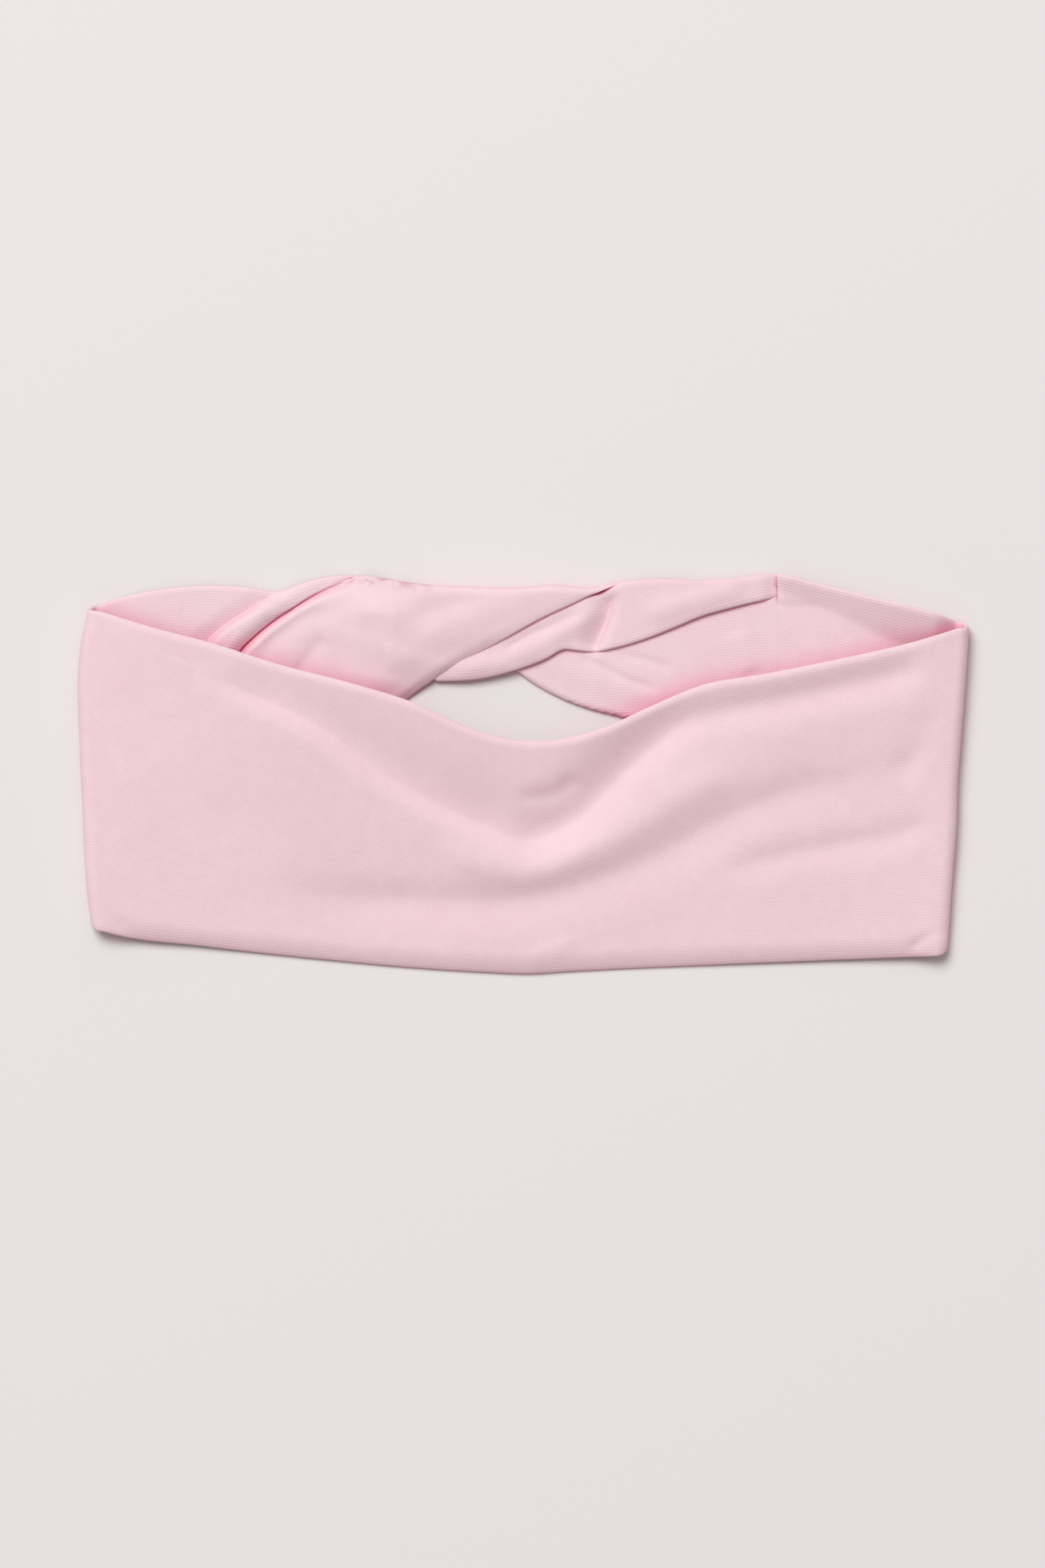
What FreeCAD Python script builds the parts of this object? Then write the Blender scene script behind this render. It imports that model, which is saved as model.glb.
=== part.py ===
"""A twist headband of two-ply cotton jersey, lying flat, as a FreeCAD document.

The band is a closed loop. A plain panel of two plies runs from the right cross seam, round the right
fold, over the top, round the left fold and back under to the left cross seam. Between the two seams,
on the underside, a second strip of two plies is twisted one full turn, so that its width is rolled
up in flat levels, one above the other. Threads close the long edges and join the strips at the seams.

Millimetres. X runs along the flattened loop, Y across the band, and Z is up. The origin is the centre
of the footprint, on the surface that the band lies on.
"""
import FreeCAD, Part
import math
import os

import Sketcher

V = FreeCAD.Vector

# alias: value in mm
SIZES = {
    "half_length": 117.0,       # middle of the loop to the outside of a fold
    "half_breadth": 52.3,       # middle of the footprint to its furthest edge
    "ply": 0.75,                # one layer of jersey
    "lining_inset": 1.25,       # outer face of the strip to the near face of its lining
    "strip": 2.0,               # both plies with the loft between them
    "thread_inset": 0.85,       # outer face of the strip to a closing thread
    "thread_depth": 0.3,
    "thread_width": 1.2,
    "thread_from_edge": 1.5,
    "fold_radius": 4.7,         # outside of the soft folds at both ends
    "crown": 13.5,              # top of the upper layer where it rides over the twist
    "crown_left": -40.0,
    "crown_right": 30.0,
    "shoulder_left": -66.0,
    "shoulder_right": 60.0,
    "left_seam": -73.6,
    "right_seam": 67.0,
    "seam_gap": 0.4,            # half the slot that the cross-seam stitches bridge
    "stitch_radius": 0.25,
    "stitch_pitch": 3.0,
    "seam_low": -33.0,          # first stitch of a cross seam
    "level": 2.4,               # height from one rolled level of the twist to the next
}

# Edges of the two layers in plan, left to right, as points (x, y) of a smooth curve.
UPPER_LAYER_BACK = [(-117, 44.0), (-83, 34.4), (-43.5, 23.1), (-16, 12.6), (3, 8.4), (21.5, 12.0),
                    (46.5, 22.9), (84, 30.2), (117, 39.0)]
UPPER_LAYER_FRONT = [(-117, -38.0), (-110, -41.5), (-54, -48.8), (0, -52.2), (60, -50.6), (111, -47.6),
                     (117, -45.5)]
UNDER_LAYER_BACK = [(-117, 44.0), (-96, 48.2), (-83, 49.3), (-64, 48.0), (60, 52.2), (92.5, 46.4),
                    (117, 39.0)]
UNDER_LAYER_FRONT = [(-117, -38.0), (-105, -38.5), (-73, -36.0), (67, -36.0), (105, -44.0),
                     (117, -45.5)]

# The twisted strip in slices across the band. Each slice is (x, legs), and a leg is one flat run
# (y from, y to, level): the runs follow the strip's width from its first edge to its last one, and
# each joins the next in a round fold.
FLOOR, SECOND, THIRD, FOURTH = 0.0, 1.0, 2.0, 3.0
TWIST = {
    "right_flap": [
        ("right_seam", [(46.5, 50.1, SECOND), (50.1, -35.0, FLOOR)]),
        (46.0, [(40.0, 48.5, THIRD), (48.5, -10.3, SECOND)]),
    ],
    "right_roll": [
        (46.0, [(40.0, 48.5, THIRD), (48.5, -8.1, SECOND), (-8.1, -6.0, FLOOR)]),
        (22.0, [(36.0, 45.5, THIRD), (45.5, 18.7, SECOND), (18.7, 45.7, FLOOR)]),
    ],
    "knot": [
        (22.0, [(36.0, 45.5, THIRD), (45.5, 18.7, SECOND), (18.7, 45.7, FLOOR), (45.7, 44.7, FOURTH)]),
        (-4.0, [(27.5, 44.2, THIRD), (44.2, 26.8, SECOND), (26.8, 44.4, FLOOR), (44.4, 33.2, FOURTH)]),
        (-10.5, [(28.9, 44.4, THIRD), (44.4, 25.6, SECOND), (25.6, 44.7, FLOOR), (44.7, 29.4, FOURTH)]),
        (-11.5, [(29.3, 44.5, THIRD), (44.5, 25.4, SECOND), (25.4, 44.7, FLOOR), (44.7, 28.8, FOURTH)]),
        (-17.0, [(34.0, 44.7, THIRD), (44.7, 24.4, SECOND), (24.4, 45.0, FLOOR), (45.0, 25.5, FOURTH)]),
        (-29.0, [(40.0, 45.3, THIRD), (45.3, 22.0, SECOND), (22.0, 45.5, FLOOR), (45.5, 18.3, FOURTH)]),
    ],
    "left_roll": [
        (-29.0, [(43.0, 22.0, SECOND), (22.0, 45.5, FLOOR), (45.5, 18.3, FOURTH)]),
        (-60.0, [(42.0, 40.0, SECOND), (40.0, 44.2, FLOOR), (44.2, -22.0, THIRD)]),
    ],
    "left_fan": [
        (-60.0, [(44.2, -22.0, THIRD)]),
        ("left_seam", [(48.6, -36.0, FLOOR)]),
    ],
}

# Closing threads of the twisted strip, each beside one of its edges: (x, y nearest the edge, level).
FIRST_EDGE = [("right_seam", 48.0, SECOND), (46.0, 41.5, THIRD), (22.0, 37.5, THIRD),
              (-4.0, 29.0, THIRD), (-11.0, 30.6, THIRD), (-29.0, 41.5, THIRD)]
LAST_EDGE = [(-4.0, 34.7, FOURTH), (-29.0, 19.8, FOURTH), (-60.0, -20.5, THIRD),
             ("left_seam", -34.5, FLOOR)]

document = FreeCAD.newDocument("headband")


def fill_sheet():
    sheet = document.addObject("Spreadsheet::Sheet", "sizes")
    for row, (alias, value) in enumerate(SIZES.items(), start=1):
        sheet.set(f"A{row}", alias)
        sheet.set(f"B{row}", str(value))
        sheet.setAlias(f"B{row}", alias)
    document.recompute()
    return sheet


def station(x):
    """A slice's place along X: a number, or the alias of a cross seam, moved off its stitches."""
    if x == "right_seam":
        return SIZES[x] - SIZES["seam_gap"], "sizes.right_seam - sizes.seam_gap"
    if x == "left_seam":
        return SIZES[x] + SIZES["seam_gap"], "sizes.left_seam + sizes.seam_gap"
    return x, str(x)


def new_body(label):
    body = document.addObject("PartDesign::Body", label)
    body.Label = label
    body.AllowCompound = True
    return body


def new_sketch(body, name, plane, offset="0"):
    """A sketch on one of the body's own origin planes, moved along the plane's normal."""
    sketch = body.newObject("Sketcher::SketchObject", name)
    support = next(feature for feature in body.Origin.OriginFeatures if feature.Role == plane)
    sketch.AttachmentSupport = [(support, "")]
    sketch.MapMode = "FlatFace"
    sketch.setExpression("AttachmentOffset.Base.z", offset)
    return sketch


def value_of(expression):
    """The number that a sheet expression such as '-sizes.ply + 2' stands for."""
    total = 0.0
    for word in expression.replace("- ", "-").replace("+ ", "+").split():
        sign = -1.0 if word.startswith("-") else 1.0
        name = word.lstrip("+-")
        factor = 1.0
        if "*" in name:
            number, name = name.split("*")
            factor = float(number)
        number = SIZES[name[6:]] if name.startswith("sizes.") else float(name)
        total += sign * factor * number
    return total


def pin_point(sketch, geometry, end, x, y):
    """Holds one end of a line or arc at a place that the sheet gives."""
    for kind, expression in (("DistanceX", x), ("DistanceY", y)):
        constraint = Sketcher.Constraint(kind, -1, 1, geometry, end, value_of(expression))
        index = sketch.addConstraint(constraint)
        sketch.setExpression(f"Constraints[{index}]", expression)


def rectangle(sketch, low, high):
    """A rectangle whose corners are pairs of sheet expressions."""
    corners = [(low[0], low[1]), (high[0], low[1]), (high[0], high[1]), (low[0], high[1])]
    places = [V(value_of(x), value_of(y), 0) for x, y in corners]
    for index in range(4):
        sketch.addGeometry(Part.LineSegment(places[index], places[(index + 1) % 4]), False)
    for index in range(4):
        sketch.addConstraint(Sketcher.Constraint("Coincident", index, 2, (index + 1) % 4, 1))
        pin_point(sketch, index, 1, *corners[index])


def loop_path(body):
    """The outer face of the plain panel seen from the front, from the right seam to the left one."""
    sketch = new_sketch(body, f"{body.Name}_path", "XZ_Plane")
    right = "sizes.half_length - sizes.fold_radius"
    left = "-sizes.half_length + sizes.fold_radius"
    flat = "2*sizes.fold_radius"
    runs = [
        [("sizes.right_seam + sizes.seam_gap", "0"), (right, "0")],
        [(right, flat), ("sizes.shoulder_right", flat), ("sizes.crown_right", "sizes.crown"),
         ("sizes.crown_left", "sizes.crown"), ("sizes.shoulder_left", flat), (left, flat)],
        [(left, "0"), ("sizes.left_seam - sizes.seam_gap", "0")],
    ]
    ends = []
    for run in runs:
        for start, end in zip(run, run[1:]):
            places = [V(value_of(x), value_of(y), 0) for x, y in (start, end)]
            line = sketch.addGeometry(Part.LineSegment(*places), False)
            pin_point(sketch, line, 1, *start)
            pin_point(sketch, line, 2, *end)
        ends.append(line)
    radius = SIZES["fold_radius"]
    quarter = math.pi / 2
    for x, start in ((value_of(right), -quarter), (value_of(left), quarter)):
        circle = Part.Circle(V(x, radius, 0), V(0, 0, 1), radius)
        arc = sketch.addGeometry(Part.ArcOfCircle(circle, start, start + 2 * quarter), False)
        index = sketch.addConstraint(Sketcher.Constraint("Radius", arc, radius))
        sketch.setExpression(f"Constraints[{index}]", "sizes.fold_radius")
    return sketch


def smooth_edge(points, shift):
    """A curve through an edge's points, moved across the band."""
    curve = Part.BSplineCurve()
    curve.interpolate([V(x, y + shift, 0) for x, y in points])
    return curve


def trim_layer(body, name, above, front, back):
    """Cuts one layer of the loop to its outline: front and back are (edge, shift across the band)."""
    sketch = new_sketch(body, f"{body.Name}_{name}", "XY_Plane", "sizes.fold_radius")
    margin = 10.0
    for (points, shift), side in ((front, -1), (back, 1)):
        curve = smooth_edge(points, shift)
        start, end = curve.StartPoint, curve.EndPoint
        far = side * (SIZES["half_breadth"] + margin)
        outline = [end, V(end.x + margin, end.y, 0), V(end.x + margin, far, 0),
                   V(start.x - margin, far, 0), V(start.x - margin, start.y, 0), start]
        sketch.addGeometry(curve, False)
        for here, there in zip(outline, outline[1:]):
            sketch.addGeometry(Part.LineSegment(here, there), False)
    pocket = body.newObject("PartDesign::Pocket", f"{body.Name}_{name}_cut")
    pocket.Profile = sketch
    pocket.Type = "ThroughAll"
    pocket.Reversed = above
    return pocket


def loop_strip(label, inset, depth, edges):
    """A strip that follows the plain panel's path, cut in plan to the edges of its two layers."""
    body = new_body(label)
    path = loop_path(body)
    profile = new_sketch(body, f"{label}_section", "YZ_Plane", "sizes.right_seam + sizes.seam_gap")
    rectangle(profile, ("-sizes.half_breadth", inset), ("sizes.half_breadth", f"{inset} + {depth}"))
    pipe = body.newObject("PartDesign::AdditivePipe", f"{label}_pipe")
    pipe.Profile = profile
    pipe.Spine = path
    pipe.Transition = "Right corner"
    document.recompute()
    trim_layer(body, "upper_trim", True, *edges["upper"])
    document.recompute()
    trim_layer(body, "under_trim", False, *edges["under"])
    document.recompute()
    return body


def make_panel():
    """Both plies of the plain panel and the threads that close its long edges."""
    whole = {
        "upper": ((UPPER_LAYER_FRONT, 0.0), (UPPER_LAYER_BACK, 0.0)),
        "under": ((UNDER_LAYER_FRONT, 0.0), (UNDER_LAYER_BACK, 0.0)),
    }
    near = SIZES["thread_from_edge"]
    far = near + SIZES["thread_width"]
    back = {
        "upper": ((UPPER_LAYER_BACK, -far), (UPPER_LAYER_BACK, -near)),
        "under": ((UNDER_LAYER_BACK, -far), (UNDER_LAYER_BACK, -near)),
    }
    front = {
        "upper": ((UPPER_LAYER_FRONT, near), (UPPER_LAYER_FRONT, far)),
        "under": ((UNDER_LAYER_FRONT, near), (UNDER_LAYER_FRONT, far)),
    }
    return [
        loop_strip("panel_outer_ply", "0", "sizes.ply", whole),
        loop_strip("panel_lining", "sizes.lining_inset", "sizes.ply", whole),
        loop_strip("panel_back_edge_thread", "sizes.thread_inset", "sizes.thread_depth", back),
        loop_strip("panel_front_edge_thread", "sizes.thread_inset", "sizes.thread_depth", front),
    ]


def rolled_face(legs, inset):
    """One face of the rolled strip in a slice, that far inside its outer face, as lines and arcs."""
    middle = SIZES["strip"] / 2
    offset = middle - inset
    edges = []
    for index, (start, end, level) in enumerate(legs):
        way = 1.0 if end > start else -1.0
        height = middle + level * SIZES["level"] + way * offset
        edges.append(Part.LineSegment(V(start, height, 0), V(end, height, 0)))
        if index + 1 < len(legs):
            next_height = middle + legs[index + 1][2] * SIZES["level"] - way * offset
            radius = abs(next_height - height) / 2
            centre = V(end, (height + next_height) / 2, 0)
            first = -math.pi / 2 if way > 0 else math.pi / 2
            edges.append(Part.ArcOfCircle(Part.Circle(centre, V(0, 0, 1), radius), first, first + math.pi))
    return edges


def slice_sketch(body, name, x, legs, inset, depth):
    """A slice of a rolled ply: outer face, last end, inner face and first end, in one closed round.

    The round starts at the fold that lies furthest back. That point moves least from slice to slice,
    so a loft pairs each slice's corners with the same corners of the next.
    """
    sketch = new_sketch(body, name, "YZ_Plane", station(x)[1])
    outer = rolled_face(legs, inset)
    inner = rolled_face(legs, inset + depth)
    last_end = Part.LineSegment(outer[-1].EndPoint, inner[-1].EndPoint)
    first_end = Part.LineSegment(inner[0].StartPoint, outer[0].StartPoint)
    edges = outer + [last_end] + inner[::-1] + [first_end]
    folds = [end for start, end, level in legs[:-1]]
    start = 2 * folds.index(max(folds)) + 1 if folds else 0
    sketch.addGeometry(edges[start:] + edges[:start], False)
    return sketch


def rolled_ply(label, inset):
    """One ply of the twisted strip: a loft for each stretch in which its runs stay the same."""
    body = new_body(label)
    for name, slices in TWIST.items():
        sketches = [
            slice_sketch(body, f"{label}_{name}_{number}", x, legs, inset, SIZES["ply"])
            for number, (x, legs) in enumerate(slices)
        ]
        document.recompute()
        loft = body.newObject("PartDesign::AdditiveLoft", f"{label}_{name}")
        loft.Profile = sketches[0]
        loft.Sections = sketches[1:]
        loft.Ruled = True
        document.recompute()
    return body


def edge_thread(label, route):
    """A closing thread between the plies, beside one edge of the twisted strip."""
    body = new_body(label)
    sketches = []
    for number, (x, y, level) in enumerate(route):
        sketch = new_sketch(body, f"{label}_{number}", "YZ_Plane", station(x)[1])
        low = f"{level * SIZES['level']} + sizes.thread_inset"
        rectangle(sketch, (str(y), low), (f"{y} + sizes.thread_width", f"{low} + sizes.thread_depth"))
        sketches.append(sketch)
    document.recompute()
    loft = body.newObject("PartDesign::AdditiveLoft", f"{label}_loft")
    loft.Profile = sketches[0]
    loft.Sections = sketches[1:]
    loft.Ruled = True
    return body


def cross_seam(label, alias, count):
    """The stitches of a cross seam, one row along Y in the slot between the two strips."""
    body = new_body(label)
    sketch = new_sketch(body, f"{label}_stitch", "XY_Plane")
    centre = V(SIZES[alias], SIZES["seam_low"], 0)
    circle = sketch.addGeometry(Part.Circle(centre, V(0, 0, 1), SIZES["stitch_radius"]), False)
    pin_point(sketch, circle, 3, f"sizes.{alias}", "sizes.seam_low")
    index = sketch.addConstraint(Sketcher.Constraint("Radius", circle, SIZES["stitch_radius"]))
    sketch.setExpression(f"Constraints[{index}]", "sizes.stitch_radius")
    pad = body.newObject("PartDesign::Pad", f"{label}_pad")
    pad.Profile = sketch
    pad.setExpression("Length", "sizes.strip")
    document.recompute()
    row = body.newObject("PartDesign::LinearPattern", f"{label}_row")
    row.Originals = [pad]
    row.Direction = (sketch, ["V_Axis"])
    row.Occurrences = count
    row.Length = (count - 1) * SIZES["stitch_pitch"]
    body.Tip = row
    return body


def make_seams():
    return [
        edge_thread("twist_first_edge_thread", FIRST_EDGE),
        edge_thread("twist_last_edge_thread", LAST_EDGE),
        cross_seam("left_cross_seam", "left_seam", 27),
        cross_seam("right_cross_seam", "right_seam", 28),
    ]


def check_and_write(parts):
    document.recompute()
    for thing in document.Objects:
        if {"Invalid", "Error"} & set(thing.State):
            raise RuntimeError(f"{thing.Name} did not build: {thing.State}")
    os.makedirs("parts", exist_ok=True)
    for part in parts:
        shape = part.Shape
        if shape.isNull() or not shape.isValid():
            raise RuntimeError(f"{part.Label} has no valid shape")
        box = shape.BoundBox
        print(part.Label, len(shape.Solids), round(shape.Volume, 1),
              [round(number, 2) for number in (box.XMin, box.YMin, box.ZMin, box.XMax, box.YMax, box.ZMax)])
        shape.exportStep(f"parts/{part.Label}.step")


def main():
    fill_sheet()
    parts = make_panel()
    parts.append(rolled_ply("twist_outer_ply", 0.0))
    parts.append(rolled_ply("twist_lining", SIZES["lining_inset"]))
    parts.extend(make_seams())
    check_and_write(parts)


main()
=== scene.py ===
"""The looks of the twist headband, built round its CAD frame.

Lengths are millimetres until a mesh is made, and the axes are the frame's own: X along the
flattened loop, Y across the band, Z up from the surface that it lies on. Each cloth strip is a grid
over its middle surface, shaped by smooth edge curves and by a list of folds. Its two plies are closed
skins on the two sides of that surface, and its threads run between them.
"""
import math

import bpy
import numpy as np
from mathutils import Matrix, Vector


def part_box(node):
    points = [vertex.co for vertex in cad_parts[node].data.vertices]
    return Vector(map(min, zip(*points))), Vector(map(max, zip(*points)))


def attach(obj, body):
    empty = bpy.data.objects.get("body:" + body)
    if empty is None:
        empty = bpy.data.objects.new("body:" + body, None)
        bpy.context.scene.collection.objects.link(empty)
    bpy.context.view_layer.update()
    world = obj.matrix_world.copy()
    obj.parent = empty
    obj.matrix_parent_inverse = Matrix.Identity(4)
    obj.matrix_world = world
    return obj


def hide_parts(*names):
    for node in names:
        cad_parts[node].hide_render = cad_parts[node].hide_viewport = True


MM = 0.001

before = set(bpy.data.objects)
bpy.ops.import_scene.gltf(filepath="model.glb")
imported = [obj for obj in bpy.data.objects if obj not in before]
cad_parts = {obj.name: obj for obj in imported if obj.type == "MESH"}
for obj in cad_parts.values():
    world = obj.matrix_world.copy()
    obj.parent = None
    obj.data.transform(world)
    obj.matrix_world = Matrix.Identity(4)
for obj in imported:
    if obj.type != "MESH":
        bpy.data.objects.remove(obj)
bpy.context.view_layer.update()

# ---------------------------------------------------------------- sizes

HALF = 0.6                  # half the thickness of a strip: two plies and the loft between
FLOOR = HALF + 0.1          # middle of a strip that lies on the floor
LEVEL = 1.35                # height from one layer of the rolled twist to the next
PLY_GAP = 0.12              # from a strip's middle surface to each ply
THINNING = 1.3              # width over which a strip thins towards its long edges
EDGE_PLACES = [0.0, 0.06, 0.2, 0.45, 0.85, 1.4]     # where a grid's columns lie beside a long edge
PANEL_WIDTH = 86.0
TWIST_WIDTH = 87.0
RIGHT_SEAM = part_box("right_cross_seam")[1].x / MM
SEAM_GROOVE = 0.7           # width over which the flap and the panel thin to the right cross seam
TUCK = 4.5                  # width over which both strips thin to the left cross seam
THREAD = 0.1                # radius of a sewing thread
HALF_LENGTH = 117.0         # from the middle of the band to its folded ends
SMOOTHING = 4               # passes that even out a strip's normals, so that tight turns stay clean
PANEL_ROWS = (50, 12, 228, 12, 84)      # of the panel's grid: under right, turn, upper, turn, under left
TWIST_ROWS = (105, 180)                 # of the twist's grid: its right part and its finer left part
EDGE_THREADS = ((4, 6), (-5, -7))       # columns of a grid between which the closing threads zigzag


def smooth(points):
    """A smooth function of x through a few points (x, y)."""
    xs, ys = np.array(points, float).T
    slopes = np.gradient(ys, xs)

    def at(x):
        x = np.clip(x, xs[0], xs[-1])
        i = np.clip(np.searchsorted(xs, x) - 1, 0, len(xs) - 2)
        step = xs[i + 1] - xs[i]
        t = (x - xs[i]) / step
        ends = ys[i] * (1 + 2 * t) * (1 - t) ** 2 + ys[i + 1] * t * t * (3 - 2 * t)
        return ends + step * t * (1 - t) * (slopes[i] * (1 - t) - slopes[i + 1] * t)

    return at


def ease(t):
    """0 below 0, 1 above 1 and smooth between."""
    t = np.clip(t, 0.0, 1.0)
    return t * t * (3 - 2 * t)


# ---------------------------------------------------------------- edges in plan

upper_back = smooth([
    (-117, 44.0), (-114.6, 43.4), (-95.8, 37.8), (-82.8, 34.4), (-64.4, 28.6), (-43.5, 23.1), (-28.9, 18.5),
    (-16.3, 12.7), (-3.8, 8.9), (8.8, 8.7), (21.3, 12.0), (33.9, 17.7), (46.4, 22.9), (63.2, 26.0),
    (84.1, 30.2), (100.8, 34.0), (117, 38.9),
])
upper_front = smooth([
    (-117, -38.6), (-113, -40.4), (-108, -41.9), (-85, -45.0), (-54, -48.4), (-25, -51.0), (-8, -52.0),
    (1, -52.3), (12, -51.7), (40, -50.4), (75, -49.0), (100, -48.0), (111.5, -47.6), (117, -47.2),
])
under_back = smooth([
    (-117, 44.0), (-114.6, 43.6), (-106.3, 46.1), (-95.8, 48.2), (-83.3, 49.3), (-72.8, 48.8),
    (-64.4, 47.9), (-56.1, 50.6), (-45.6, 52.2), (-37.2, 51.4), (-28.9, 50.1), (-12.1, 49.1),
    (-1.7, 48.9), (8.8, 49.6), (19.2, 49.0), (24.5, 50.3), (36, 51.4), (46.4, 50.9), (56.9, 51.6),
    (66.3, 52.4), (75.7, 50.3), (92.5, 46.1), (105, 43.0), (117, 38.9),
])
under_front = smooth([(-117, -38.6), (-105, -38.0), (-73, -36.0), (67, -36.0), (105, -43.0), (117, -47.2)])
right_fold = smooth([
    (-60, 110.2), (-47.6, 111.4), (-30, 112.6), (-12, 113.9), (-3, 114.1), (8, 114.9), (25, 116.2),
    (38.8, 117.0), (60, 117.0),
])
left_fold = smooth([
    (-60, -112.2), (-41, -113.0), (-33, -114.2), (-6, -115.9), (12, -116.7), (25, -117.0), (36, -116.0),
    (43.4, -114.4), (60, -113.5),
])
first_edge = smooth([
    (-75, 30), (-40, 26), (-21.3, 24.4), (-10.9, 25.1), (-2.5, 27.2), (5.8, 30.2), (10.6, 32.7),
    (14.1, 32.4), (18.3, 32.0), (23.8, 33.0), (32.2, 35.5), (40.5, 38.8), (46.7, 41.4), (52.9, 43.2),
    (66.3, 46.3), (70, 47),
])
last_edge = smooth([
    (-75, -36), (-60, -16), (-45, 6), (-31.3, 19.4), (-21.3, 26.3), (-7.4, 34.1), (4.4, 40.7), (15.5, 45.9),
    (23.1, 49.9), (30, 53),
])
front_fold = smooth([
    (-75, 44), (-45, 36), (-21.3, 28.5), (-10, 28.0), (-2.5, 27.4), (1.6, 24.6), (11.3, 19.3), (18.3, 16.8),
    (23.8, 15.4), (34, 13), (46, 10), (56, 0), (62, -22), (70, -60),
])
LEFT_SEAM = [
    (-80, -45), (-80, -10), (-79, 20), (-75, 32.2), (-70.1, 37.1), (-63.3, 42.3), (-57.8, 45.8),
    (-51.7, 48.6), (-46.6, 50.3), (-43.6, 52.3),
]
left_seam = smooth([(y, x) for x, y in LEFT_SEAM])


def seam_ends(place_at):
    """x of the ends of a strip's lines at the left cross seam; place_at(x) is where the lines lie."""
    x = left_seam(place_at(-60.0))
    for _ in range(30):
        x = left_seam(place_at(x))
    return x


# ---------------------------------------------------------------- folds

# A fold is (points along it from left to right, height, reach behind it, reach in front of it).
# A valley has a negative height.
UPPER_FOLDS = [
    # the V-shaped valley in the middle: its long left arm and its steep right arm
    ([(-84, 27), (-66, 19), (-54, 13), (-34, -1.5), (-12, -12.5), (-1, -16.8), (8, -17)], -2.6, 10.0, 3.0),
    ([(-6, -17.5), (4, -16.6), (12, -12.8), (17, -8.6), (22.9, -2.3), (29, 3.6), (36, 9.6), (48, 20.5)],
     -4.0, 8.0, 5.0),
    # the ridge in front of it
    ([(-26, -17), (-12, -23), (0, -25.4), (12.8, -21.5), (28, -14), (44, -4.5), (62, 4)], 1.6, 5.5, 5.0),
    # a dent inside the V
    ([(-2, -6.5), (8, -5), (15, 0)], -0.8, 2.6, 2.6),
    # the second valley, from the left middle to the right back
    ([(-70, -31), (-50, -32.5), (-28, -33.4), (-5, -33.8), (14, -30), (30, -24.5), (44, -17.5), (58, -10),
      (72, -4.5), (87, -1.5), (100, 3)], -1.3, 4.6, 6.5),
    # shallow valleys towards the right-hand fold
    ([(50, -26), (66, -22), (82, -19), (98, -16), (112, -10)], -0.9, 3.6, 4.0),
    ([(96, -2), (103.6, 5), (108, 18)], -0.8, 4.0, 4.0),
    # the hollow just in front of the back edge
    ([(40, 10), (50, 15.5), (64.9, 18.6), (80.3, 22.0), (97, 26), (110, 30.5)], -1.9, 4.6, 5.0),
    # small tucks at the corners and in the middle of the front edge
    ([(-113.4, 27), (-110, 26.4)], -0.8, 3.5, 3.5),
    ([(-113.5, -33), (-110, -37.5), (-103, -40.5)], -0.6, 2.0, 2.0),
    ([(101, -46), (107, -42.5), (113, -39.5)], -0.9, 1.6, 1.2),
    ([(1.3, -48.0), (7, -46.0), (14, -43.5)], 0.35, 1.6, 3.0),
]
FLAP_FOLDS = [
    # the crown of the flap's left part and the crease behind it
    ([(-24, 25.5), (-10, 28.5), (0, 31.5), (8, 36.0), (16, 41.2), (23, 47.0)], 0.9, 3.2, 3.0),
    ([(-6, 31.8), (1.6, 35.9), (9.9, 39.6), (16.5, 43.2)], -0.8, 1.8, 1.3),
    # the deep valley across the flap
    ([(17.6, 30.5), (20.0, 35.5), (22.2, 41.0), (23.7, 48.4)], -2.3, 3.6, 1.4),
    # the crown of its right part
    ([(30, 41), (42, 44.6), (52, 47.4), (60, 49.2)], 0.9, 3.0, 3.5),
]
INNER_FOLDS = [
    # two fine creases in front of the flap, and a soft bulge
    ([(14.1, 31.2), (20, 28.5), (26, 25.4), (36, 22)], -0.45, 1.0, 1.6),
    ([(24, 32.0), (32, 30), (40, 27.6)], -0.35, 1.0, 1.6),
    ([(56, 38), (58.5, 31), (60, 26)], 0.5, 2.5, 3.5),
]
STRAND_FOLDS = [
    # a hollow along the strand, one beside the left cross seam, and a dimple
    ([(-34, 39), (-20, 44), (-6, 47.2), (4, 49)], -0.5, 3.0, 3.0),
    ([(-70, 29), (-66, 35), (-59.7, 40.0), (-50, 43.4), (-40, 46)], -0.9, 2.6, 3.0),
    ([(-61, 24), (-57, 30), (-52, 37)], -0.5, 2.0, 2.6),
]
# the panel's crease to the right of the right cross seam
INNER_CREASE = [(60, 50.4), (68, 47.6), (76, 45.0), (86, 40.4), (96, 35.4), (114, 27)]


def smooth_line(points, count=40):
    """Points evenly spread on a smooth line through the given ones."""
    points = np.array(points, float)
    distance = np.concatenate([[0.0], np.cumsum(np.linalg.norm(np.diff(points, axis=0), axis=1))])
    at = np.linspace(0, distance[-1], count)
    return np.stack([smooth(np.stack([distance, points[:, k]], 1))(at) for k in (0, 1)], 1)


def from_line(x, y, points):
    """Distance from a smooth line, positive on its left-hand side, and how far along it, from 0 to 1."""
    line = smooth_line(points)
    best = np.full(x.shape, 1e9)
    side = np.ones(x.shape)
    place = np.zeros(x.shape)
    for index, ((ax, ay), (bx, by)) in enumerate(zip(line[:-1], line[1:])):
        dx, dy = bx - ax, by - ay
        t = np.clip(((x - ax) * dx + (y - ay) * dy) / (dx * dx + dy * dy), 0, 1)
        ox, oy = x - ax - t * dx, y - ay - t * dy
        distance = np.hypot(ox, oy)
        nearer = distance < best
        best = np.where(nearer, distance, best)
        side = np.where(nearer, np.where(dx * oy - dy * ox < 0, -1, 1), side)
        place = np.where(nearer, (index + t) / (len(line) - 1), place)
    return best * side, place


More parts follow.
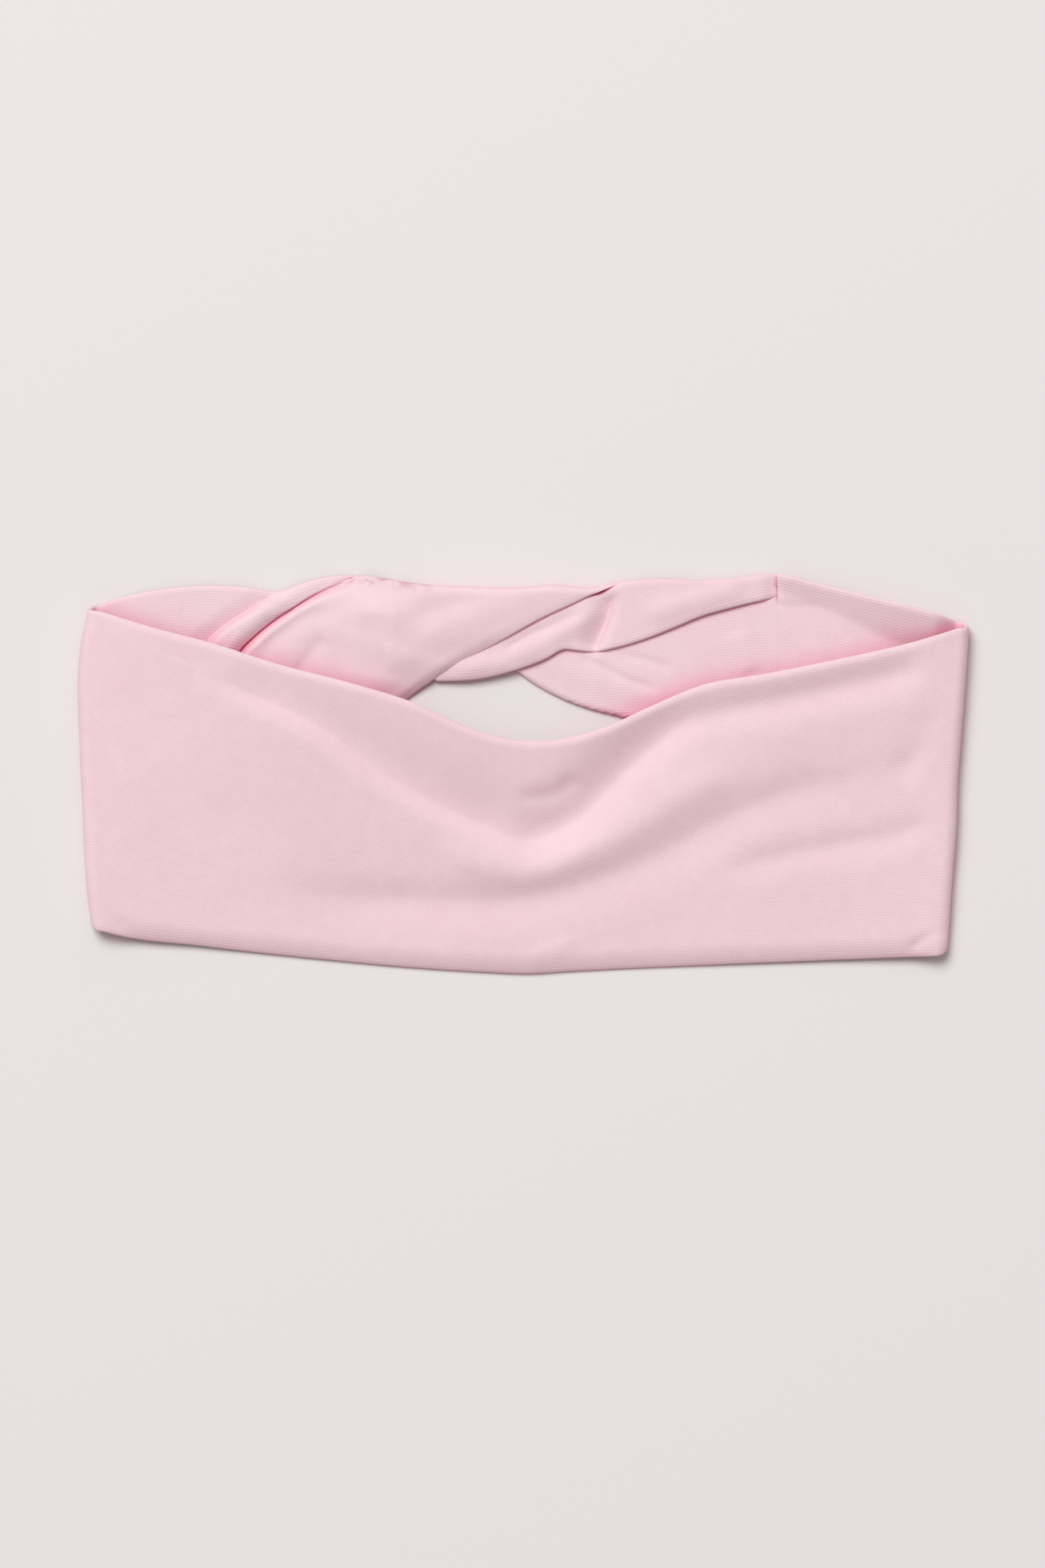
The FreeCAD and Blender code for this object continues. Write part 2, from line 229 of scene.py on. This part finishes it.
def fold_height(x, y, folds):
    """What a list of folds adds to the height of a layer at (x, y)."""
    total = np.zeros(x.shape)
    for points, height, behind, before in folds:
        distance, place = from_line(x, y, points)
        reach = np.where(distance > 0, behind, before)
        ends = ease(place / 0.2) * ease((1 - place) / 0.2)
        total += height * np.exp(-((distance / reach) ** 2)) * (0.1 + 0.9 * ends)
    return total


def ripple(x, y, seed, size):
    """Gentle unevenness of soft cloth: a few long waves, between about -1 and 1."""
    random = np.random.default_rng(seed)
    total = np.zeros(x.shape)
    for _ in range(7):
        angle = random.uniform(0, math.pi)
        length = size * random.uniform(0.7, 1.6)
        phase = random.uniform(0, 2 * math.pi)
        total += np.sin(2 * math.pi * (x * math.cos(angle) + y * math.sin(angle)) / length + phase)
    return total / 4.0


# ---------------------------------------------------------------- heights

upper_front_height = smooth([
    (-117, 6.0), (-100, 4.6), (-80, 3.6), (-45, 3.0), (0, 2.9), (45, 3.0), (80, 3.6), (100, 4.6),
    (117, 6.0),
])
upper_back_height = smooth([
    (-117, 6.6), (-95, 9.4), (-70, 10.8), (-45, 11.6), (-20, 10.4), (0, 9.4), (22, 10.0), (50, 10.4),
    (85, 10.0), (105, 8.6), (117, 6.4),
])


def upper_height(x, y):
    """Middle of the upper layer."""
    share = (y - upper_front(x)) / (upper_back(x) - upper_front(x))
    steeper = ease((x + 70) / 60)
    climb = ease(share * 0.9) * (1 - steeper) + share ** 1.6 * steeper
    base = upper_front_height(x) + (upper_back_height(x) - upper_front_height(x)) * climb
    inside = ease((112 - np.abs(x)) / 12)
    shape = fold_height(x, y, UPPER_FOLDS) + 0.2 * ripple(x, y, 3, 45)
    lip = np.clip(1 - (upper_back(x) - y) / 2.0, 0, 1)
    front_bend = np.clip(1 - (y - upper_front(x)) / 5.5, 0, 1)
    shape -= 0.8 * lip ** 2 + 2.2 * front_bend ** 2
    return np.maximum(base + shape * inside, FLOOR)


def seam_relief(y):
    """How much the cloth stands up beside the left cross seam: less and less towards its back end."""
    return 0.25 + 0.75 * ease((51.5 - y) / 8)


def left_pleat(x, y):
    """The rolled pleat of the panel beside the left cross seam, and the rise of the panel beyond it."""
    away, place = from_line(x, y, LEFT_SEAM)
    width = 7.0 - 3.0 * ease((y - 33) / 14)
    side = (0.45 * ease(away / 0.9) + 0.55 * ease(away / 3.4)) * ease((width - away) / 3.2 + 0.5)
    beside = 1.1 * ease((away - width) / 7)
    return (2.7 * side * seam_relief(y) + beside) * ease((place - 0.35) / 0.2)


def overhang(points):
    """The pleat leans over the cross seam and hides it."""
    x, y = points[:, :, 0], points[:, :, 1]
    away = from_line(x, y, LEFT_SEAM)[0]
    lean = 0.6 * (points[:, :, 2] - FLOOR) * np.exp(-((away / 2.2) ** 2)) * ease((y - 5) / 20)
    return points + lean[:, :, None] * np.array([0.66, -0.75, 0.0])


def seam_lift(x, y):
    """How the folded end of the twist holds the panel up beside the right cross seam."""
    return 0.4 * LEVEL * ease((y - 43.5) / 3) * ease((84 - x) / 16) * ease((x - 56) / 8)


def back_rise(x, y):
    """How the panel rises behind its crease towards the right-hand fold."""
    above = from_line(x, y, INNER_CREASE)[0]
    return 0.5 * (np.sqrt(above ** 2 + 1.0) + above) / 2 * ease((x - 60) / 10) * ease((115 - x) / 8)


def under_height(x, y):
    """Middle of the plain panel where it lies underneath."""
    inside = ease((110 - np.abs(x)) / 14)
    shape = left_pleat(x, y) + 0.1 * ripple(x, y, 5, 40) + seam_lift(x, y)
    return FLOOR + np.maximum(shape, 0.0) * inside + back_rise(x, y)


# ---------------------------------------------------------------- middle surfaces

def across_places(width, spacing, fine):
    """Distances across a strip, close together beside both long edges.

    Over the fine width beside the last edge they are half as far apart as elsewhere.
    """
    start, middle, end = EDGE_PLACES[-1], width - fine, width - EDGE_PLACES[-1]
    coarse_part = np.linspace(start, middle, round((middle - start) / spacing) + 1)[:-1]
    fine_part = np.linspace(middle, end, round(2 * (end - middle) / spacing) + 1)
    first_edge_part = EDGE_PLACES[:-1]
    last_edge_part = width - np.array(EDGE_PLACES[:-1])[::-1]
    return np.concatenate([first_edge_part, coarse_part, fine_part, last_edge_part])


def layer(x, share, front, back, height):
    """Part of a grid that lies flat between two edge curves."""
    y = front(x) + (back(x) - front(x)) * share
    return np.stack([x, y, height(x, y)], 2)


def half_turn(start, end, reach, steps):
    """Part of a grid that turns from the last row of one layer to the first row of the next."""
    turn = np.linspace(0, math.pi, steps + 2)[1:-1, None, None]
    middle = (start + end)[None] / 2
    half = (end - start)[None] / 2
    points = middle - half * np.cos(turn)
    points[:, :, 0] += reach * np.sin(turn[:, :, 0])
    return points


def spread(first, last, count, crowding=1.0):
    """Rows of x from one curve across the strip to another, crowded towards the last."""
    t = 1 - (1 - np.linspace(0, 1, count)[:, None]) ** crowding
    return first * (1 - t) + last * t


def panel_grid():
    """Middle surface of the plain panel, from the right cross seam round the loop to the left one."""
    places = across_places(PANEL_WIDTH, 0.85, 13.0)
    share = (places / PANEL_WIDTH)[None, :]
    ends = {}
    for side, fold in ((1, right_fold), (-1, left_fold)):
        tip = side * HALF_LENGTH
        y = upper_front(tip) + (upper_back(tip) - upper_front(tip)) * share
        outer = fold(y) - side * HALF
        inner = outer - side * 2.6
        ends[side] = (inner, side * (outer - inner))
    right, left = ends[1], ends[-1]
    seam_x = seam_ends(lambda x: under_front(x) + (under_back(x) - under_front(x)) * share)
    rows_right, rows_turn, rows_upper, rows_turn_left, rows_left = PANEL_ROWS
    under_right = layer(spread(RIGHT_SEAM - 0.36 + 0 * share, right[0], rows_right), share,
                        under_front, under_back, under_height)
    upper = layer(spread(right[0], left[0], rows_upper), share, upper_front, upper_back, upper_height)
    under_left = overhang(layer(spread(left[0], seam_x, rows_left, 1.6), share,
                                under_front, under_back, under_height))
    right_turn = half_turn(under_right[-1], upper[0], right[1], rows_turn)
    left_turn = half_turn(upper[-1], under_left[0], -left[1], rows_turn_left)
    return np.concatenate([under_right, right_turn, upper, left_turn, under_left]), places


def after_edge(y, edge, side, reach):
    """1 where a lower layer still lies beneath, easing to 0 over some reach beyond its edge."""
    return ease(side * (y - edge) / reach + 1)


# The twisted strip's width is rolled up. From its first edge it runs back on the third level, folds,
# runs forward on the second, folds, runs back on the floor, folds over everything and runs forward on
# top. How much of the width lies on each level changes along the band. Towards the left cross seam the
# first edge slips along this way until the whole width lies on top.

ROW_START = RIGHT_SEAM - 0.38           # where the first row lies, straight across the strip
FINE_START = -20.0                      # from here to the left the rows lie closer together
TURNING_START = -10.0                   # from here to the left they turn towards the left cross seam
ROW_END = -73.6                         # where the last row would lie if they didn't turn
SMALL_REACH = 0.95                      # how far the two inner folds stand out from their levels
SMALL_TURN = math.pi * SMALL_REACH      # width of the cloth in each of them


def twist_rows(places):
    """x over the twisted strip's grid, whose last row lies on the left cross seam."""
    wide = np.linspace(ROW_START, FINE_START, TWIST_ROWS[0] + 1)[:-1]
    fine = np.linspace(FINE_START, ROW_END, TWIST_ROWS[1])
    row = np.concatenate([wide, fine])[:, None]
    seam = seam_ends(lambda x: under_back(x) - places[None, :])
    turning = ease((TURNING_START - row) / (TURNING_START - ROW_END))
    return row + (seam + 0.02 - ROW_END) * turning


def twist_way(x, places):
    """Where each place across the twisted strip lies on its way through the roll.

    Gives y, the distance along the way, where its legs and folds end, the distance from the strip's
    last edge, y of the front fold, and how far the outermost fold stands out.
    """
    curl = ease((x + 42) / 8)
    large_reach = 1.45 * curl + 0.05
    large_turn = 0.3 + 6.3 * curl
    back = under_back(x) - HALF * curl
    nested = ease((27 - x) / 8) * (2 * HALF + 0.2)
    back_inner = back - nested - SMALL_REACH
    back_outer = back - large_reach
    fold = np.minimum(front_fold(x) + HALF + SMALL_REACH, back_inner - 1.5)
    steps = [back_inner - first_edge(x), SMALL_TURN + 0 * x, back_inner - fold, SMALL_TURN + 0 * x,
             back_outer - fold, large_turn]
    ends = np.cumsum(steps, axis=0)

    # towards the left the first edge slips along the way, until it is in or past the outermost fold
    start = (ends[5] - 0.8 * large_turn * curl) * ease((-22.5 - x) / 12.5)
    rolled = ends[5] - start + back_outer - last_edge(x)
    width = rolled + (TWIST_WIDTH - rolled) * ease((x - 21) / 26)
    along = start + places[None, :] / TWIST_WIDTH * width
    y = np.select([along < end for end in ends],
                  [first_edge(x) + along, back_inner, back_inner - (along - ends[1]), fold,
                   fold + (along - ends[3]), back_outer],
                  back_outer - (along - ends[5]))
    return y, along, ends, start + width - along, fold, large_reach


def strand_rise(x, y, from_last, rolled_in):
    """How the strand on top rises behind its last edge, droops at it and stands up beside the seam."""
    plump = 1.4 * ease(from_last / 13) * rolled_in
    droop = (0.35 + 0.85 * ease((3 - x) / 24)) * ease(1 - from_last / 4) ** 2 * ease((x + 60) / 20)
    aside = np.maximum(0.6 * (x - left_seam(y)) - 2, 0)
    beside_seam = 2.5 * np.exp(-aside / 12) * ease((y - 10) / 20) * seam_relief(y)
    return plump - droop + beside_seam


def twist_levels(x, y, from_last, fold):
    """Heights of the roll's floor, second, third and top level over (x, y)."""
    rolled_in = ease((x + 62) / 30)
    under_second = ease((71 - x) / 46) * (0.5 + 0.5 * ease((y - fold) / 8))
    press = 1 - 0.85 * ease((x - 62) / 4.5)
    ground = FLOOR + 0 * y
    second = ground + LEVEL * under_second * rolled_in
    third = second + LEVEL * after_edge(y, fold, 1, 9) * press * rolled_in
    top = third + LEVEL * after_edge(y, first_edge(x), 1, 9) * rolled_in

    flap_shape = fold_height(x, y, FLAP_FOLDS) * ease((x + 24) / 10)
    inner_shape = fold_height(x, y, INNER_FOLDS) * ease((x - 5) / 8)
    second = np.maximum(second + inner_shape + 0.6 * np.minimum(flap_shape, 0), FLOOR + 0.05)
    third = third + flap_shape
    top = top + fold_height(x, y, STRAND_FOLDS) + strand_rise(x, y, from_last, rolled_in)
    beside_back = 1 - ease((under_back(x) - y) / 10)
    top = top - 0.65 * (top - FLOOR) * beside_back * ease((-26 - x) / 9)
    pressed = ease((-from_line(x, y, LEFT_SEAM)[0] - 0.2) / 2.6)
    return [FLOOR + (level - FLOOR) * pressed for level in (ground, second, third, top)]


def turned(along, start, end, first_z, second_z):
    """Height in a fold from one level to the next, and how far out the cloth is there, from 0 to 1."""
    angle = np.clip((along - start) / (end - start), 0, 1) * math.pi
    return (first_z + second_z) / 2 + (first_z - second_z) / 2 * np.cos(angle), np.sin(angle)


def twist_grid():
    """Middle surface of the twisted strip, from the right cross seam to the left one."""
    places = TWIST_WIDTH - across_places(TWIST_WIDTH, 0.7, 13.0)[::-1]
    x = twist_rows(places)
    y, along, ends, from_last, fold, large_reach = twist_way(x, places)
    ground, second, third, top = twist_levels(x, y, from_last, fold)
    z_back, out_back = turned(along, ends[0], ends[1], third, second)
    z_front, out_front = turned(along, ends[2], ends[3], second, ground)
    z_over, out_over = turned(along, ends[4], ends[5], ground, top)
    z = np.select([along < end for end in ends], [third, z_back, second, z_front, ground, z_over], top)
    y = y + SMALL_REACH * out_back * (along < ends[1])
    y = y - SMALL_REACH * out_front * (along < ends[3]) * (along > ends[1])
    y = y + large_reach * out_over * (along > ends[4])
    return np.stack([x + 0 * y, y, z], 2), places


# ---------------------------------------------------------------- meshes

def unit(vectors):
    """The vectors of a grid at unit length."""
    return vectors / np.maximum(np.linalg.norm(vectors, axis=2, keepdims=True), 1e-9)


def grid_normals(points):
    """Unit normals of a grid, on the side of the strip's lining, a little evened out."""
    normal = unit(np.cross(np.gradient(points, axis=0), np.gradient(points, axis=1)))
    for _ in range(SMOOTHING):
        wide = np.pad(normal, ((1, 1), (1, 1), (0, 0)), mode="edge")
        normal = (2 * normal + wide[:-2, 1:-1] + wide[2:, 1:-1] + wide[1:-1, :-2] + wide[1:-1, 2:]) / 6
    return unit(normal)


def distances(points, axis):
    """Distance along each line of a grid from its start."""
    steps = np.linalg.norm(np.diff(points, axis=axis), axis=2)
    total = np.cumsum(steps, axis=axis)
    return np.concatenate([np.zeros_like(np.take(total, [0], axis=axis)), total], axis=axis)


def half_thickness(points, places):
    """Half the thickness of a strip, which thins to a round edge and a little at its cross seams."""
    from_edge = np.minimum(places, places[-1] - places)[None, :]
    thin = np.clip(1 - from_edge / THINNING, 0, 1)
    tip = np.clip(1 - from_edge / 0.3, 0, 1)
    rounded = HALF * (0.5 + 0.5 * np.sqrt(1 - thin * thin)) * np.sqrt(np.maximum(1 - tip * tip, 0.03))
    along = distances(points, 0)
    groove = 0.3 * ease(1 - along / SEAM_GROOVE) * ease((points[:, :, 1] - 43) / 2)
    tucked = 0.45 * ease(1 - (along[-1:] - along) / TUCK)
    return rounded * (1 - groove) * (1 - tucked)


def settle(points, half):
    """Lowers the thinner parts of a strip until they touch what is beneath, but not into the floor."""
    points = points.copy()
    points[:, :, 2] = np.maximum(points[:, :, 2] - (HALF - half), half + 0.1)
    return points


def link(name, verts, faces, smooth_shading=True):
    """A new mesh object from vertices in millimetres."""
    mesh = bpy.data.meshes.new(name)
    mesh.from_pydata((np.asarray(verts) * MM).tolist(), [], list(faces))
    mesh.update()
    if smooth_shading:
        mesh.polygons.foreach_set("use_smooth", np.ones(len(mesh.polygons), bool))
        mesh.set_sharp_from_angle(angle=math.radians(55))
    piece = bpy.data.objects.new(name, mesh)
    bpy.context.scene.collection.objects.link(piece)
    return piece


def map_cloth(piece, along, across):
    """Gives every vertex its place on the flat cloth, in metres, as a UV map."""
    flat = np.stack([along, np.broadcast_to(across, along.shape)], 2).reshape(-1, 2) * MM
    flat = np.concatenate([flat, flat])
    corners = np.zeros(len(piece.data.loops), np.int32)
    piece.data.loops.foreach_get("vertex_index", corners)
    layer_data = piece.data.uv_layers.new(name="cloth").data
    layer_data.foreach_set("uv", flat[corners].astype(np.float32).ravel())


def make_ply(name, points, places, half, side):
    """A closed skin beside a strip's middle surface: side is -1 for the outer face, 1 for the lining."""
    normals = grid_normals(points)
    half = half[:, :, None]
    face = points + normals * side * half
    back = points + normals * side * np.minimum(PLY_GAP, half * 0.4)
    rows, columns = points.shape[:2]
    index = np.arange(rows * columns).reshape(rows, columns)
    quads = np.stack([index[:-1, :-1], index[1:, :-1], index[1:, 1:], index[:-1, 1:]], 2).reshape(-1, 4)
    rim = np.concatenate([index[0], index[1:, -1], index[-1, :-1][::-1], index[1:-1, 0][::-1]])
    after = np.roll(rim, -1)
    below = rows * columns
    band = np.stack([rim, after, after + below, rim + below], 1)
    faces = np.concatenate([quads, quads[:, ::-1] + below, band])
    if side < 0:
        faces = faces[:, ::-1]
    piece = link(name, np.concatenate([face.reshape(-1, 3), back.reshape(-1, 3)]), faces.tolist())
    map_cloth(piece, distances(points, 0), places[None, :])
    return piece


def make_threads(name, paths, sides=5):
    """Sewing threads along a list of paths, each a thin closed tube."""
    verts, faces = [], []
    for path in paths:
        path = np.asarray(path)
        forward = np.gradient(path, axis=0)
        forward /= np.linalg.norm(forward, axis=1, keepdims=True)
        across = np.cross(forward, [0.0, 0.0, 1.0])
        across /= np.maximum(np.linalg.norm(across, axis=1, keepdims=True), 1e-9)
        up = np.cross(across, forward)
        turn = np.arange(sides) * 2 * math.pi / sides
        rings = (path[:, None] + THREAD * across[:, None] * np.cos(turn)[None, :, None]
                 + THREAD * up[:, None] * np.sin(turn)[None, :, None])
        first = len(verts)
        index = first + np.arange(len(path) * sides).reshape(len(path), sides)
        verts.extend(rings.reshape(-1, 3))
        after = np.roll(index, -1, axis=1)
        faces.extend(np.stack([index[:-1], index[1:], after[1:], after[:-1]], 2).reshape(-1, 4).tolist())
        faces.append(index[0].tolist())
        faces.append(index[-1][::-1].tolist())
    return link(name, verts, faces)


def edge_path(points, columns):
    """The zigzag of a closing thread, between two columns of a strip's grid."""
    rows = np.arange(2, len(points) - 2, 2)
    return points[rows, np.where(np.arange(len(rows)) % 2, *columns)]


def seam_paths(points, rows, count):
    """Stitches that run from one end of a strip across the cross seam into the next strip."""
    columns = np.linspace(8, points.shape[1] - 9, count).round().astype(int)
    inside, end = points[rows[0], columns], points[rows[1], columns]
    beyond = end + (end - inside) * [1.0, 1.0, 0.0]
    beyond[:, 2] = np.maximum(end[:, 2], THREAD + 0.1)
    return list(np.stack([inside, end, beyond], 1))


# ---------------------------------------------------------------- materials

COURSE = 0.00072            # from one course of the knit to the next, in metres


def painted_fold_shade(tree, deep, reach, least, most):
    """Painted shade: a mix towards the deep colour by how open a place is, standing in for the light
    that has gone from cloth to cloth in a fold and comes out deeper.

    Gives the socket for the open colour and the mixed colour. Openness within the reach counts as
    nothing up to the least value and as whole from the most on.
    """
    openness = tree.nodes.new("ShaderNodeAmbientOcclusion")
    openness.inputs["Distance"].default_value = reach
    scale = tree.nodes.new("ShaderNodeMapRange")
    scale.inputs["From Min"].default_value = least
    scale.inputs["From Max"].default_value = most
    tree.links.new(openness.outputs["AO"], scale.inputs["Value"])
    # painted shade: closed-in places take the deep colour in place of their own
    mix = tree.nodes.new("ShaderNodeMix")
    mix.data_type = "RGBA"
    mix.inputs["A"].default_value = (*deep, 1.0)
    tree.links.new(scale.outputs["Result"], mix.inputs["Factor"])
    return mix.inputs["B"], mix.outputs["Result"]


def noise(tree, vector, scale, detail, roughness=0.5):
    """Noise over a place."""
    node = tree.nodes.new("ShaderNodeTexNoise")
    node.inputs["Scale"].default_value = scale
    node.inputs["Detail"].default_value = detail
    node.inputs["Roughness"].default_value = roughness
    tree.links.new(vector, node.inputs["Vector"])
    return node.outputs["Fac"]


def maths(tree, operation, first, second=0.0):
    """One step of arithmetic on sockets or numbers."""
    node = tree.nodes.new("ShaderNodeMath")
    node.operation = operation
    for socket, value in zip(node.inputs, (first, second)):
        if isinstance(value, float):
            socket.default_value = value
        else:
            tree.links.new(value, socket)
    return node.outputs["Value"]


def weighted(tree, *parts):
    """The sum of sockets, each times its weight."""
    total = maths(tree, "MULTIPLY", *parts[0])
    for socket, weight in parts[1:]:
        total = maths(tree, "ADD", total, maths(tree, "MULTIPLY", socket, weight))
    return total


def courses(tree):
    """The fine lengthwise courses of the knit, broken here and there."""
    cloth = tree.nodes.new("ShaderNodeUVMap")
    cloth.uv_map = "cloth"
    stretch = tree.nodes.new("ShaderNodeMapping")
    stretch.inputs["Scale"].default_value = (1.0, 6.0, 1.0)
    tree.links.new(cloth.outputs["UV"], stretch.inputs["Vector"])
    split = tree.nodes.new("ShaderNodeSeparateXYZ")
    tree.links.new(cloth.outputs["UV"], split.inputs["Vector"])
    wander = noise(tree, cloth.outputs["UV"], 160.0, 2.0)
    course = weighted(tree, (split.outputs["Y"], 2 * math.pi / COURSE), (wander, 5.0))
    course = maths(tree, "MULTIPLY", maths(tree, "SINE", course), 0.5)
    return maths(tree, "MULTIPLY", course, noise(tree, stretch.outputs["Vector"], 520.0, 3.0))


def jersey(name, colour, shade, deep, reach, least, most):
    """Brushed cotton jersey: fine courses along the strip, a soft mottle and a peach-fuzz sheen.

    Its folds take painted shade, a deep pink where the cloth closes a place in.
    """
    material = bpy.data.materials.new(name)
    material.use_nodes = True
    tree = material.node_tree
    shader = tree.nodes["Principled BSDF"]
    shader.inputs["Roughness"].default_value = 0.92
    shader.inputs["Specular IOR Level"].default_value = 0.12
    shader.inputs["Sheen Weight"].default_value = 0.14
    shader.inputs["Sheen Roughness"].default_value = 0.5
    shader.inputs["Sheen Tint"].default_value = (1.0, 0.86, 0.9, 1.0)

    place = tree.nodes.new("ShaderNodeTexCoord").outputs["Object"]
    course = courses(tree)
    fibre = noise(tree, place, 1900.0, 3.0, 0.6)
    mottle = noise(tree, place, 230.0, 4.0, 0.6)
    cloudy = noise(tree, place, 28.0, 2.0)
    tone = weighted(tree, (course, 0.14), (mottle, 0.16), (cloudy, 0.10), (fibre, 0.14))
    ramp = tree.nodes.new("ShaderNodeMix")
    ramp.data_type = "RGBA"
    ramp.inputs["A"].default_value = (*shade, 1.0)
    ramp.inputs["B"].default_value = (*colour, 1.0)
    tree.links.new(maths(tree, "MULTIPLY", tone, 3.2), ramp.inputs["Factor"])
    # painted shade: the deep colour in closed-in folds, standing in for light gone from cloth to cloth
    open_colour, mixed = painted_fold_shade(tree, deep, reach, least, most)
    tree.links.new(ramp.outputs["Result"], open_colour)
    tree.links.new(mixed, shader.inputs["Base Color"])

    bump = tree.nodes.new("ShaderNodeBump")
    bump.inputs["Strength"].default_value = 0.4
    bump.inputs["Distance"].default_value = 0.00025
    tree.links.new(weighted(tree, (course, 0.5), (fibre, 0.35), (mottle, 0.4)), bump.inputs["Height"])
    tree.links.new(bump.outputs["Normal"], shader.inputs["Normal"])
    return material


def plain(name, colour, roughness):
    """A material of one colour."""
    material = bpy.data.materials.new(name)
    material.use_nodes = True
    shader = material.node_tree.nodes["Principled BSDF"]
    shader.inputs["Base Color"].default_value = (*colour, 1.0)
    shader.inputs["Roughness"].default_value = roughness
    shader.inputs["Specular IOR Level"].default_value = 0.2
    return material


# ---------------------------------------------------------------- the object

# third colour of each jersey: painted shade in closed-in folds, reaching farther on the lining
materials = {
    "jersey_face": jersey("jersey_face", (0.893, 0.662, 0.712), (0.795, 0.52, 0.59), (0.74, 0.16, 0.28),
                          0.0045, 0.2, 0.8),
    "jersey_lining": jersey("jersey_lining", (0.905, 0.68, 0.73), (0.805, 0.535, 0.605), (0.79, 0.17, 0.29),
                            0.011, 0.0, 0.92),
    "sewing_thread": plain("sewing_thread", (0.82, 0.57, 0.63), 0.8),
}


def settle_in(piece, node, slot):
    """Gives a piece its material, hides the CAD node it stands for and hangs it under the root body."""
    piece.data.materials.append(materials[slot])
    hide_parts(node)
    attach(piece, "root")


def make_strip(strip, middle, places, thread_names):
    """Both plies of a strip and the threads that close its long edges; returns its middle surface."""
    half = half_thickness(middle, places)
    middle = settle(middle, half)
    for side, node, slot in ((-1, "outer_ply", "jersey_face"), (1, "lining", "jersey_lining")):
        piece = make_ply(f"{strip}_{slot}", middle, places, half, side)
        settle_in(piece, f"{strip}_{node}", slot)
    for thread, columns in zip(thread_names, EDGE_THREADS):
        piece = make_threads(f"{thread}_stitches", [edge_path(middle, columns)])
        settle_in(piece, thread, "sewing_thread")
    return middle


panel = make_strip("panel", *panel_grid(), ("panel_front_edge_thread", "panel_back_edge_thread"))
make_strip("twist", *twist_grid(), ("twist_first_edge_thread", "twist_last_edge_thread"))
for seam, rows, count in (("right_cross_seam", (2, 0), 28), ("left_cross_seam", (-8, -1), 27)):
    settle_in(make_threads(f"{seam}_stitches", seam_paths(panel, rows, count)), seam, "sewing_thread")

# ---------------------------------------------------------------- stage, light and camera

FLOOR_COLOUR = (0.805, 0.757, 0.75)
KEY_PLACE = (-1.3, 2.5, 4.4)
CAMERA_PLACE = Vector((-0.0002, -0.0027, 2.0))
FIELD = 0.4123              # length of the long side of the picture, on the floor


def make_floor():
    """The surface that the band lies on, with painted pink shade where the cloth closes it in."""
    floor = link("floor", [(-3000, -3000, 0), (3000, -3000, 0), (3000, 3000, 0), (-3000, 3000, 0)],
                 [(0, 1, 2, 3)], False)
    material = plain("floor", FLOOR_COLOUR, 0.9)
    tree = material.node_tree
    # painted shade: a deep pink on the floor where the cloth closes it in, like light thrown back off it
    open_colour, mixed = painted_fold_shade(tree, (0.80, 0.42, 0.44), 0.009, 0.05, 0.45)
    open_colour.default_value = (*FLOOR_COLOUR, 1.0)
    tree.links.new(mixed, tree.nodes["Principled BSDF"].inputs["Base Color"])
    floor.data.materials.append(material)


def area_light(name, place, size, power, colour):
    """A square light that faces the object."""
    data = bpy.data.lights.new(name, "AREA")
    data.color = colour
    data.energy = power
    data.size = size
    light = bpy.data.objects.new(name, data)
    light.location = place
    light.rotation_euler = (-Vector(place)).to_track_quat("-Z", "Y").to_euler()
    bpy.context.scene.collection.objects.link(light)


def make_world(colour, strength):
    """Even light from all round."""
    world = bpy.data.worlds.new("studio")
    bpy.context.scene.world = world
    world.use_nodes = True
    background = world.node_tree.nodes["Background"]
    background.inputs["Color"].default_value = (*colour, 1.0)
    background.inputs["Strength"].default_value = strength


def make_camera():
    """A camera that looks straight down."""
    data = bpy.data.cameras.new("camera")
    data.lens = data.sensor_width * CAMERA_PLACE.z / FIELD
    camera = bpy.data.objects.new("camera", data)
    camera.location = CAMERA_PLACE
    bpy.context.scene.collection.objects.link(camera)
    bpy.context.scene.camera = camera


make_floor()
area_light("key", KEY_PLACE, 2.8, 228.0, (0.92, 1.01, 0.995))
make_world((1.0, 0.89, 0.89), 0.40)
make_camera()
bpy.context.scene.view_settings.view_transform = "Standard"
